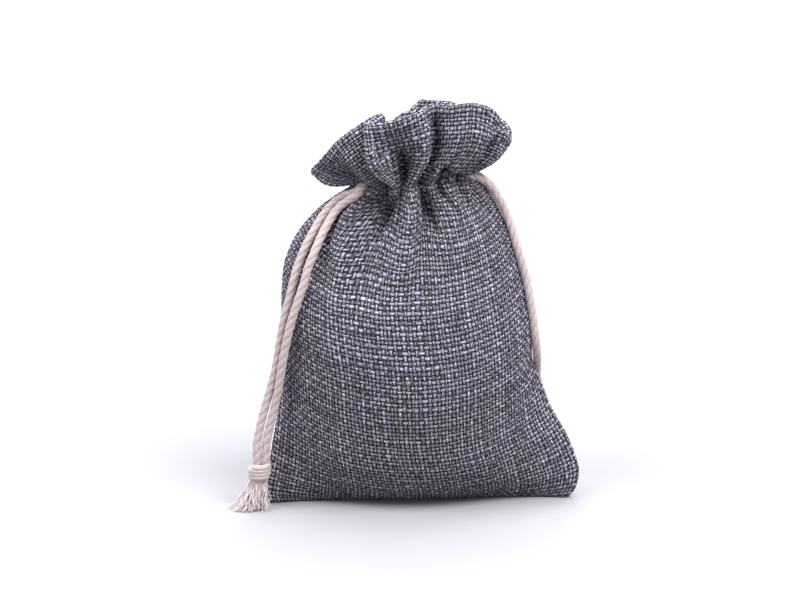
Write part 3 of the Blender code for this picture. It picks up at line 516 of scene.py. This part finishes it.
class Weave:
    """The whole cloth, woven, on one grid: a row for each sample up it, a column round it."""

    def __init__(self):
        warp, weft = yarn_edges(WARPS, CLOTH_ROUND), yarn_edges(WEFTS, RIM_LINE - HEM_WALL / 2)
        self.u = np.arange(WARPS * SAMPLES + 1) / SAMPLES
        self.v = np.arange(WEFTS * SAMPLES + 1) / SAMPLES
        self.s = np.interp(self.u, np.arange(WARPS + 1), warp)
        self.t = np.interp(self.v, np.arange(WEFTS + 1), weft)
        self.quiet = ease(self.t / STILL_BASE)[:, None]
        self.lay_cloth()
        self.raise_yarns()

    def slopes(self, base):
        """How the cloth runs on for each mm round it and up it."""
        along_s = np.gradient(base, self.s, axis=1)
        along_s[:, 0] = along_s[:, -1] = (along_s[:, 0] + along_s[:, -1]) / 2
        return along_s, np.gradient(base, self.t, axis=0)

    def lay_cloth(self):
        """The cloth's points, moved in by the tight creases and sideways by its wandering yarns,
        its directions there, and its wall, which thins where a ridge is tighter than it."""
        base = cloth(self.s, self.t)
        base = base - unit(np.cross(*self.slopes(base))) * creased(self.s, self.t)[..., None]
        along_s, along_t = self.slopes(base)
        self.normal, self.up = unit(np.cross(along_s, along_t)), unit(along_t)
        stray_s = wander(WARPS + 1, WEFTS).T * self.quiet
        stray_t = wander(WEFTS + 1, WARPS) * self.quiet * fading(self.t, STILL_RIM)[:, None]
        self.base = base + along_s * stray_s[..., None] + along_t * stray_t[..., None]
        second = np.gradient(along_s, self.s, axis=1)
        bend = -np.sum(second * self.normal, -1) / np.sum(along_s ** 2, -1)
        full = HEM_WALL + (WALL - HEM_WALL) * fading(self.t - CORD_LINE, HEM_START)[:, None]
        self.wall = np.minimum(full, RIDGE_FILL / np.maximum(bend, RIDGE_FILL / full))

    def raise_yarns(self):
        """At each point, how far the upper one of its two yarns stands out, how hollow the place
        is (1 in a hole, 0 on a high yarn) and that yarn's tone. A dip runs along the rim."""
        warp_thick = 1 + THICK_UNEVEN * along_noise(WARPS, WEFTS, THICK_STEP)
        weft_thick = 1 + THICK_UNEVEN * along_noise(WEFTS, WARPS, THICK_STEP)
        warp_tone, weft_tone = yarn_tones(WARPS, WEFTS), yarn_tones(WEFTS, WARPS)
        i = np.minimum(self.u.astype(int), WARPS - 1)
        j = np.minimum(self.v.astype(int), WEFTS - 1)
        across, up = np.meshgrid(self.u - i - 0.5, self.v - j - 0.5)
        warp_wave = np.where(i % 2, -1.0, 1.0)[None, :] * np.sin(math.pi * self.v)[:, None]
        weft_wave = -np.where(j % 2, -1.0, 1.0)[:, None] * np.sin(math.pi * self.u)[None, :]
        warp_top = yarn_top(warp_wave, across, warp_thick[i].T)
        weft_top = yarn_top(weft_wave, up, weft_thick[j])
        relief = np.maximum(np.maximum(warp_top, weft_top), -YARN_WAVE)
        self.hollow = np.clip(1 - (relief + YARN_WAVE) / (2 * YARN_WAVE + YARN_ROUND), 0, 1)
        dip = HEM_DIP * np.exp(-((self.t - HEM_EDGE) / HEM_EDGE_HALF) ** 2)
        self.relief = relief - dip[:, None]
        self.tone = np.where(warp_top > weft_top, warp_tone[i].T, weft_tone[j])

    def row(self, height):
        """The row nearest to a height along the cloth."""
        return int(np.argmin(np.abs(self.t - height)))


# --- meshes ---

def placed(name, data):
    """A new object in the scene."""
    made = bpy.data.objects.new(name, data)
    bpy.context.scene.collection.objects.link(made)
    return made


def plain_floats(array):
    """Numbers as one row of single-precision floats, for foreach_set."""
    return np.ascontiguousarray(array, dtype=np.float32).ravel()


def grid_piece(name, points, uv, shades, material, closed=False):
    """A piece made of grids of points in mm: an axis for the copies, one for the rows and one for
    the columns, with a quad between every four neighbours. A closed grid also joins its last
    column to its first and has a flat face over each end, and its uv has one column more."""
    copies, rows, columns = points.shape[:3]
    corner = np.arange(copies * rows * columns).reshape(copies, rows, columns)
    if closed:
        corner = np.concatenate([corner, corner[:, :, :1]], axis=2)
    place = np.arange(corner.size).reshape(corner.shape)
    quads = np.stack([place[:, :-1, :-1], place[:, :-1, 1:], place[:, 1:, 1:],
                      place[:, 1:, :-1]], -1)
    loops, starts = [quads.ravel()], [np.arange(0, quads.size, 4)]
    if closed:
        ends = np.concatenate([place[:, 0, -1:0:-1], place[:, -1, :-1]])
        starts.append(quads.size + np.arange(2 * copies) * columns)
        loops.append(ends.ravel())
    loops, starts = np.concatenate(loops), np.concatenate(starts)
    mesh = bpy.data.meshes.new(name)
    mesh.vertices.add(copies * rows * columns)
    mesh.vertices.foreach_set("co", plain_floats(points * MM))
    mesh.loops.add(len(loops))
    mesh.loops.foreach_set("vertex_index", corner.ravel()[loops].astype(np.int32))
    mesh.polygons.add(len(starts))
    mesh.polygons.foreach_set("loop_start", starts.astype(np.int32))
    mesh.polygons.foreach_set("use_smooth", np.ones(len(starts), dtype=bool))
    mesh.update(calc_edges=True)
    layer = mesh.uv_layers.new(name="weave")
    layer.data.foreach_set("uv", plain_floats(uv.reshape(-1, 2)[loops]))
    for label, values in shades.items():
        shade = mesh.attributes.new(label, "FLOAT", "POINT")
        shade.data.foreach_set("value", plain_floats(values))
    mesh.materials.append(material)
    return placed(name, mesh)


def cloth_piece(name, weave, columns, rows, material):
    """One panel: a part of the woven grid, each point raised off the cloth by its yarn, but not
    below the floor."""
    part = (rows, columns)
    points = weave.base[part] + weave.normal[part] * (weave.relief * weave.quiet)[part][..., None]
    points[..., 2] = np.maximum(points[..., 2], 0.0)
    uv = np.stack(np.meshgrid(weave.u[columns], weave.v[rows]), -1)
    shades = {"tone": weave.tone[part], "hollow": weave.hollow[part]}
    return grid_piece(name, points[None], uv[None], shades, material)


def heading_piece(name, weave, columns, material):
    """Half of the heading: up its outer face, over the rim in a half round, and down its turned-in
    hem inside, a wall's thickness behind. Each row stands at a turn of 0 to half a circle, in the
    place of one row of the cloth and with the yarns of another."""
    last = len(weave.t) - 1
    outer = np.arange(weave.row(SPLIT_LINE), last + 1)
    inner = np.arange(last, weave.row(HEM_LINE) - 1, -1)
    roll = last - SAMPLES - np.arange(1, RIM_ROWS + 1)
    rows = np.concatenate([outer, roll, inner])
    place = np.concatenate([outer, np.full(RIM_ROWS, last), inner])
    turn = np.concatenate([np.zeros(len(outer)), RIM_TURN, np.full(len(inner), np.pi)])
    behind, above, side = (1 - np.cos(turn)) / 2, np.sin(turn), np.cos(turn)
    wall = weave.wall[place][:, columns]
    relief = weave.relief[rows][:, columns]
    normal, up = weave.normal[place][:, columns], weave.up[place][:, columns]
    points = (weave.base[place][:, columns]
              + normal * (relief * side[:, None] - behind[:, None] * wall)[..., None]
              + up * ((relief + wall / 2) * above[:, None])[..., None])
    v = weave.v[outer[0]] + np.arange(len(rows)) / SAMPLES
    uv = np.stack(np.meshgrid(weave.u[columns], v), -1)
    shades = {label: getattr(weave, label)[rows][:, columns] for label in ("tone", "hollow")}
    return grid_piece(name, points[None], uv[None], shades, material)


def inside_piece(weave, material):
    """Inner face of the panels, below the hem: a wall's thickness behind the outer face, at one
    point a yarn, facing the hollow."""
    rows = np.arange(weave.row(HEM_LINE) + SAMPLES, -1, -SAMPLES)
    columns = np.arange(0, len(weave.s), SAMPLES)
    part = np.ix_(rows, columns)
    points = weave.base[part] - weave.normal[part] * (weave.wall * weave.quiet)[part][..., None]
    uv = np.stack(np.meshgrid(weave.u[columns], weave.v[rows]), -1)
    shades = {"tone": weave.tone[part], "hollow": np.full(weave.tone[part].shape, INNER_HOLLOW)}
    return grid_piece("inner_face", points[None], uv[None], shades, material)


# --- cords, knots and frayed ends ---

def cord_line(route):
    """Even steps along the smooth curve through a cord's route points, and how far along it each
    one is, in mm."""
    points = np.array(route, float)
    chord = distance_along(points)
    fine = np.linspace(0.0, chord[-1], ROUTE_STEPS * len(points))
    fine = smooth_through(chord, points, fine)
    run = distance_along(fine)
    at = np.linspace(0.0, run[-1], round(run[-1] / CORD_ROW) + 1)
    return np.stack([np.interp(at, run, fine[:, axis]) for axis in range(3)], -1), at


def carried(lines, radii, angles, sideways):
    """Rings carried along lines: round each point of each line a ring of points, square to the
    line, at the given radii and angles. sideways is a direction that no line runs along."""
    ahead = unit(np.gradient(lines, axis=-2))
    first = unit(np.cross(ahead, sideways))[..., None, :]
    second = np.cross(ahead[..., None, :], first)
    ring = np.cos(angles)[..., None] * first + np.sin(angles)[..., None] * second
    return lines[..., None, :] + radii[..., None] * ring


def twisted(run, radius, lay, plies, depth):
    """Radius of a twisted cord: a rounded ridge for each ply, turning once a lay, with a sharp dip
    between two plies."""
    ply = np.abs(np.cos(plies / 2 * (CORD_ANGLES - 2 * math.pi * run[:, None] / lay)))
    return radius * (1 - depth + depth * ply ** PLY_BACK)


def rope_piece(name, line, run, radii, radius, sideways, material):
    """A cord along a line, with a radius for each of its rings' points. Its pattern turns once
    round it and runs on in mm; a point is as hollow as it lies deep between the plies."""
    angles = np.broadcast_to(CORD_ANGLES, radii.shape)
    uv = np.stack(np.meshgrid(np.arange(CORD_COLUMNS + 1) / CORD_COLUMNS, run), -1)
    dip = (radius - radii) / (radius - radii.min())
    return grid_piece(name, carried(line, radii, angles, sideways)[None], uv[None],
                      {"hollow": dip}, material, closed=True)


def cord_piece(name, route, material):
    """One end of a drawcord: three plies twisted round each other, each of finer yarns."""
    line, run = cord_line(route)
    radius = CORD_RADIUS + CORD_LOFT
    yarns = np.cos(YARNS_ROUND / 2 * (CORD_ANGLES + 2 * math.pi * run[:, None] / YARN_LAY))
    radii = twisted(run, radius, CORD_LAY, PLIES, CORD_DIP)
    radii = radii * (1 - YARN_DIP + YARN_DIP * np.abs(yarns))
    return rope_piece(name, line, run, radii, radius, (0.0, 1.0, 0.0), material), line, run


def wraps_piece(name, top, material):
    """The knot's turns of cord: a twisted cord wound level round the two strands, tucked into the
    knot's heart at both ends, the whole drawn a little deeper than it is wide."""
    share = np.linspace(0.0, 1.0, WRAP_ROWS)
    tuck = ease(share / WRAP_TUCK) * ease((1 - share) / WRAP_TUCK)
    turn = 2 * math.pi * WRAP_TURNS * share + WRAP_START
    reach = WRAP_HEART + (1 - WRAP_HEART) * tuck
    sunk = WRAP_TOP + (WRAP_FOOT - WRAP_TOP) * share
    line = np.array(top) + np.stack([WRAP_HALF[0] * reach * np.cos(turn),
                                     WRAP_HALF[1] * reach * np.sin(turn),
                                     WRAP_TILT * np.cos(turn) - sunk], -1)
    run = distance_along(line)
    radii = twisted(run, WRAP_RADIUS, WRAP_LAY, WRAP_YARNS, WRAP_GROOVE)
    return rope_piece(name, line, run, radii, WRAP_RADIUS, (0.0, 0.0, 1.0), material)


def frayed_piece(name, knot, material):
    """The frayed end: crimped yarns that leave the knot side by side, spread as they fall and lie
    along the floor, each a tapering tube along a curve with a small coiling crimp."""
    number = np.arange(FRAYED_YARNS)
    turn = number * GOLDEN_TURN
    place = np.sqrt((number + 0.5) / FRAYED_YARNS)
    spot = np.stack([np.cos(turn), np.sin(turn)], -1) * place[:, None]
    start = np.full(FRAYED_YARNS, -FRAY_START)
    root = np.array(knot["top"]) + np.column_stack([spot * FRAY_ROOT_HALF, start])
    fan = np.array(knot["rest"]) + spot * FRAY_FAN * knot["spread"]
    fan = fan + chance.normal(size=spot.shape) * FRAY_STRAY
    tip = np.column_stack([fan, FRAY_RADIUS + chance.uniform(0, FRAY_PILE, FRAYED_YARNS)])
    root, tip = root[:, None], tip[:, None]
    bend = root + (tip - root) * FRAY_BEND
    touch = root + (tip - root) * FRAY_TOUCH
    share = np.linspace(0.0, 1.0, FRAY_ROWS)[None, :, None]
    fall, level = 1 - share, 3 * share * (1 - share)
    lines = fall ** 3 * root + level * fall * bend + level * share * touch + share ** 3 * tip
    phase = chance.uniform(0, 2 * math.pi, (FRAYED_YARNS, 1))
    crimps = FRAY_CRIMPS * chance.uniform(*FRAY_CRIMPS_SPREAD, (FRAYED_YARNS, 1))
    coil = 2 * math.pi * crimps * share[..., 0] + phase
    size = FRAY_CRIMP * np.sin(math.pi * share[..., 0]) ** 0.5
    lines = lines + np.stack([size * np.cos(coil), size * np.sin(coil),
                              FRAY_CRIMP_UP * size * np.sin(coil)], -1)
    lines[..., 2] = np.maximum(lines[..., 2], FRAY_RADIUS)
    shape = (FRAYED_YARNS, FRAY_ROWS, FRAY_COLUMNS)
    angles = np.broadcast_to(2 * math.pi * np.arange(FRAY_COLUMNS) / FRAY_COLUMNS, shape)
    taper = np.broadcast_to(FRAY_RADIUS * (1 - FRAY_TAPER * share ** 3), shape)
    uv = np.stack(np.broadcast_arrays(np.arange(FRAY_COLUMNS + 1) / FRAY_COLUMNS,
                                      share * FRAY_LENGTH + FRAY_APART * number[:, None, None]), -1)
    return grid_piece(name, carried(lines, taper, angles, FRAY_SIDEWAYS), uv,
                      {"hollow": np.zeros(shape)}, material, closed=True)


# --- finishes ---

def colour(hex_code):
    """An sRGB hex value as linear red, green, blue and alpha."""
    parts = [int(hex_code[place:place + 2], 16) / 255 for place in (1, 3, 5)]
    return [part / 12.92 if part <= 0.04045 else ((part + 0.055) / 1.055) ** 2.4
            for part in parts] + [1.0]


def fill(node, inputs):
    """Gives each input of a node a value, or links it from a socket or from another node's first
    output."""
    for name, value in dict(inputs).items():
        source = value.outputs[0] if isinstance(value, bpy.types.Node) else value
        if isinstance(source, bpy.types.NodeSocket):
            node.id_data.links.new(source, node.inputs[name])
        else:
            node.inputs[name].default_value = source


def add(tree, kind, inputs=(), **settings):
    """Adds a node with its settings and inputs."""
    made = tree.nodes.new(kind)
    for name, value in settings.items():
        setattr(made, name, value)
    fill(made, inputs)
    return made


def new_material(name):
    """An empty material, its node tree and its surface shader."""
    material = bpy.data.materials.new(name)
    material.use_nodes = True
    return material, material.node_tree, material.node_tree.nodes["Principled BSDF"]


def ramp(node, stops):
    """Sets a colour ramp's stops: places and hex colours."""
    elements = node.color_ramp.elements
    while len(elements) < len(stops):
        elements.new(0.5)
    for element, (place, hex_code) in zip(elements, stops):
        element.position = place
        element.color = colour(hex_code)


def heathered_burlap():
    """Coarse plain-woven burlap of spun, heathered yarn: every stitch is a short round float with
    painted shade in the creases along both its sides and a painted highlight along its middle,
    light and dark yarns lie side by side, and loose hairs give a soft sheen. The pattern's unit is
    one yarn: 1.2 mm round the sack and 1.47 mm up it."""
    material, tree, shader = new_material("heathered burlap, plain woven")
    tone = add(tree, "ShaderNodeAttribute", attribute_name="tone").outputs["Fac"]
    hollow = add(tree, "ShaderNodeAttribute", attribute_name="hollow").outputs["Fac"]
    weave = add(tree, "ShaderNodeUVMap", uv_map="weave")

    # Which yarn lies on top, and how far a point is from the middle of its float, aside and along.
    cell = add(tree, "ShaderNodeVectorMath", {0: weave}, operation="FLOOR")
    number = add(tree, "ShaderNodeSeparateXYZ", {0: cell}).outputs
    total = add(tree, "ShaderNodeMath", {0: number["X"], 1: number["Y"]}, operation="ADD")
    weft_over = add(tree, "ShaderNodeMath", {0: total, 1: 2.0}, operation="FLOORED_MODULO")
    within = add(tree, "ShaderNodeVectorMath", {0: weave}, operation="FRACTION")
    middle = add(tree, "ShaderNodeVectorMath", {0: within, 1: (0.5, 0.5, 0.0)},
                 operation="SUBTRACT")
    off = add(tree, "ShaderNodeVectorMath", {0: middle}, operation="ABSOLUTE")
    off = add(tree, "ShaderNodeSeparateXYZ", {0: off}).outputs
    side = add(tree, "ShaderNodeMix", {0: weft_over, 2: off["X"], 3: off["Y"]})
    along = add(tree, "ShaderNodeMix", {0: weft_over, 2: off["Y"], 3: off["X"]})
    uneven = add(tree, "ShaderNodeTexNoise", {"Vector": weave, "Scale": EDGE_SCALE, "Detail": 2.0})
    edge = add(tree, "ShaderNodeMath", {0: uneven, 1: EDGE_STRAY, 2: side},
               operation="MULTIPLY_ADD")

    # The yarn's own tone, fibre flecks along it, a painted highlight along its back, and painted
    # highlights on the lit rows at the rim.
    fibres = []
    for stretch in ((FIBRE_ACROSS, FIBRE_ALONG, 1.0), (FIBRE_ALONG, FIBRE_ACROSS, 1.0)):
        laid = add(tree, "ShaderNodeMapping", {"Vector": weave, "Scale": stretch})
        fibres.append(add(tree, "ShaderNodeTexNoise", {"Vector": laid, "Scale": 1.0,
                                                       "Detail": 2.0, "Roughness": 0.6}))
    fibre = add(tree, "ShaderNodeMix", {0: weft_over, 2: fibres[0], 3: fibres[1]})
    lit = add(tree, "ShaderNodeMapRange", {"Value": tone, "From Min": -TONE_RANGE,
                                           "From Max": TONE_RANGE})
    row = add(tree, "ShaderNodeSeparateXYZ", {0: weave}).outputs["Y"]
    hem = add(tree, "ShaderNodeMapRange", {"Value": row, "From Min": HEM_ROWS[0],
                                           "From Max": HEM_ROWS[1]})
    hem = add(tree, "ShaderNodeValToRGB", {"Fac": hem})
    ramp(hem, HEM_BANDS)
    hem.color_ramp.interpolation = "CONSTANT"
    for part, gain, start in ((fibre, *FLECK), (weft_over, WEFT_LIFT, 0.0),
                              (edge, BACK_HIGHLIGHT_FADE, BACK_HIGHLIGHT), (hem, HEM_LIFT, 0.0)):
        part = add(tree, "ShaderNodeMath", {0: part, 1: gain, 2: start}, operation="MULTIPLY_ADD")
        lit = add(tree, "ShaderNodeMath", {0: lit, 1: part}, operation="ADD")
    lit.use_clamp = True
    yarn = add(tree, "ShaderNodeValToRGB", {"Fac": lit})
    ramp(yarn, YARN_SHADES)

    # Painted shade between the yarns: darker in the crease beside a float and where the mesh is
    # hollow.
    crease = add(tree, "ShaderNodeMapRange", {"Value": edge, "From Min": CREASE_EDGE[0],
                                              "From Max": CREASE_EDGE[1]},
                 interpolation_type="SMOOTHSTEP")
    pit_shade = add(tree, "ShaderNodeMapRange", {"Value": hollow, "From Min": PIT_SHADE_HOLLOW[0],
                                           "From Max": PIT_SHADE_HOLLOW[1]})
    deep = add(tree, "ShaderNodeMath", {0: crease, 1: pit_shade}, operation="MAXIMUM")
    deep = add(tree, "ShaderNodeMath", {0: deep, 1: PIT_SHADE_SHARE}, operation="MULTIPLY")
    dark = add(tree, "ShaderNodeMix", {0: deep, 6: yarn, 7: colour(PIT_SHADE)}, data_type="RGBA")

    # Relief: a float's back falls to its sides and its ends, and its fibres stand out.
    height = fibre
    for part, drop in ((side, FLANK_DROP), (along, END_DROP)):
        part = add(tree, "ShaderNodeMath", {0: part, 1: 2.0}, operation="POWER")
        height = add(tree, "ShaderNodeMath", {0: part, 1: drop, 2: height},
                     operation="MULTIPLY_ADD")
    raised = add(tree, "ShaderNodeBump", {"Height": height, "Distance": BURLAP_RELIEF * MM,
                                          "Strength": 1.0})
    fill(shader, {"Base Color": dark.outputs[2], "Normal": raised, "Roughness": 0.88,
                  "Sheen Weight": 0.12, "Sheen Roughness": 0.5, "Specular IOR Level": 0.25})
    return material


def spun_cotton(name, shades):
    """Undyed spun cotton: warm cream with painted shade, a little pink, in the dips between plies,
    matte, with fine fibres running along each ply. Where it lies loose, in a frayed end, its shades
    are painted paler, standing in for the light that loose fibres let through."""
    material, tree, shader = new_material(name)
    weave = add(tree, "ShaderNodeUVMap", uv_map="weave")
    hollow = add(tree, "ShaderNodeAttribute", attribute_name="hollow").outputs["Fac"]
    laid = add(tree, "ShaderNodeMapping", {"Vector": weave, "Scale": COTTON_FIBRES})
    fibre = add(tree, "ShaderNodeTexNoise", {"Vector": laid, "Scale": 1.0, "Detail": 4.0,
                                             "Roughness": 0.65})
    cream = add(tree, "ShaderNodeValToRGB", {"Fac": fibre})
    ramp(cream, tuple(zip(COTTON_STOPS, shades)))
    # Painted shade in the dips between plies.
    sunk = add(tree, "ShaderNodeMapRange", {"Value": hollow, "From Min": DIP_SHADE_HOLLOW,
                                            "To Max": DIP_SHADE_SHARE})
    dip_shaded = add(tree, "ShaderNodeMix", {0: sunk, 6: cream, 7: colour(COTTON_DIP_SHADE)},
                 data_type="RGBA")
    raised = add(tree, "ShaderNodeBump", {"Height": fibre, "Distance": COTTON_RELIEF * MM,
                                          "Strength": 0.6})
    fill(shader, {"Base Color": dip_shaded.outputs[2], "Normal": raised, "Roughness": 0.85,
                  "Sheen Weight": 0.25, "Sheen Roughness": 0.5, "Specular IOR Level": 0.25})
    return material


def white_paper():
    """Seamless white background paper: plain, matte and even."""
    material, _, shader = new_material("white background paper")
    fill(shader, {"Base Color": colour(PAPER), "Roughness": 1.0, "Specular IOR Level": 0.0})
    return material


# --- studio ---

def make_camera():
    """Camera at the photograph's height and angle, far enough off for its flat perspective."""
    data = bpy.data.cameras.new("camera")
    data.sensor_width = SENSOR
    data.lens = SENSOR * VIEW_DISTANCE / (PIXEL * IMAGE_WIDTH)
    camera = placed("camera", data)
    back = np.array([0.0, -math.cos(ELEVATION), math.sin(ELEVATION)])
    camera.location = (np.array(AIM) + VIEW_DISTANCE * back) * MM
    camera.rotation_euler = (math.pi / 2 - ELEVATION, 0.0, 0.0)
    bpy.context.scene.camera = camera


def make_light(name, turn, rise, strength, softness):
    """A large soft light far off, the same all over the floor: angles in degrees."""
    data = bpy.data.lights.new(name, "SUN")
    data.energy = strength
    data.angle = math.radians(softness)
    light = placed(name, data)
    light.rotation_euler = (math.radians(90 - rise), 0.0, math.radians(turn))


def make_studio():
    """White paper under the sack, an even white surround and three large soft lights."""
    world = bpy.data.worlds.new("white surround")
    world.use_nodes = True
    fill(world.node_tree.nodes["Background"],
         {"Color": colour(SURROUND_TINT), "Strength": SURROUND})
    bpy.context.scene.world = world
    for light in LIGHTS:
        make_light(*light)
    mesh = bpy.data.meshes.new("paper")
    corners = np.array(((-1, -1), (1, -1), (1, 1), (-1, 1))) * PAPER_HALF
    mesh.from_pydata([(x, y, PAPER_DROP) for x, y in corners], [], [(0, 1, 2, 3)])
    mesh.materials.append(white_paper())
    paper = placed("paper", mesh)
    bpy.context.scene.view_settings.view_transform = "Standard"


# --- making ---

make_camera()
cotton = spun_cotton("undyed cotton cord, twisted", TWISTED_COTTON)
# the frayed ends take the paler copy: painted light for their loose fibres
lit_loose_cotton = spun_cotton("undyed cotton, loose, painted paler", LOOSE_COTTON_LIT)
for cord in CORD_ROUTES:
    knot = cord.split("_")[0] + "_knot"
    x, y, z = CORD_ROUTES[cord][-1]
    route = (CORD_STARTS[cord], *CORD_ROUTES[cord], (x, y, z - CORD_ENDS))
    strand, line, run = cord_piece(cord + "_twist", route, cotton)
    ends = []
    if cord.endswith("outer"):
        ends = [wraps_piece(knot + "_wraps", KNOTS[knot]["top"], cotton),
                frayed_piece(knot + "_frayed_end", KNOTS[knot], lit_loose_cotton)]
    for piece, part in zip([strand, *ends], (cord, knot, knot)):
        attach(piece, "root")
        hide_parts(part)

burlap = heathered_burlap()
weave = Weave()
middle = WARPS // 2 * SAMPLES
panel_rows = slice(0, weave.row(SPLIT_LINE) + 1)
sides = {"front": slice(0, middle + 1), "back": slice(middle, WARPS * SAMPLES + 1)}
panels = [cloth_piece(side + "_panel", weave, columns, panel_rows, burlap)
          for side, columns in sides.items()]
headings = [heading_piece(side + "_heading", weave, columns, burlap)
            for side, columns in sides.items()]
for piece in [*panels, *headings, inside_piece(weave, burlap)]:
    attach(piece, "root")
    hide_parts("sack")

make_studio()
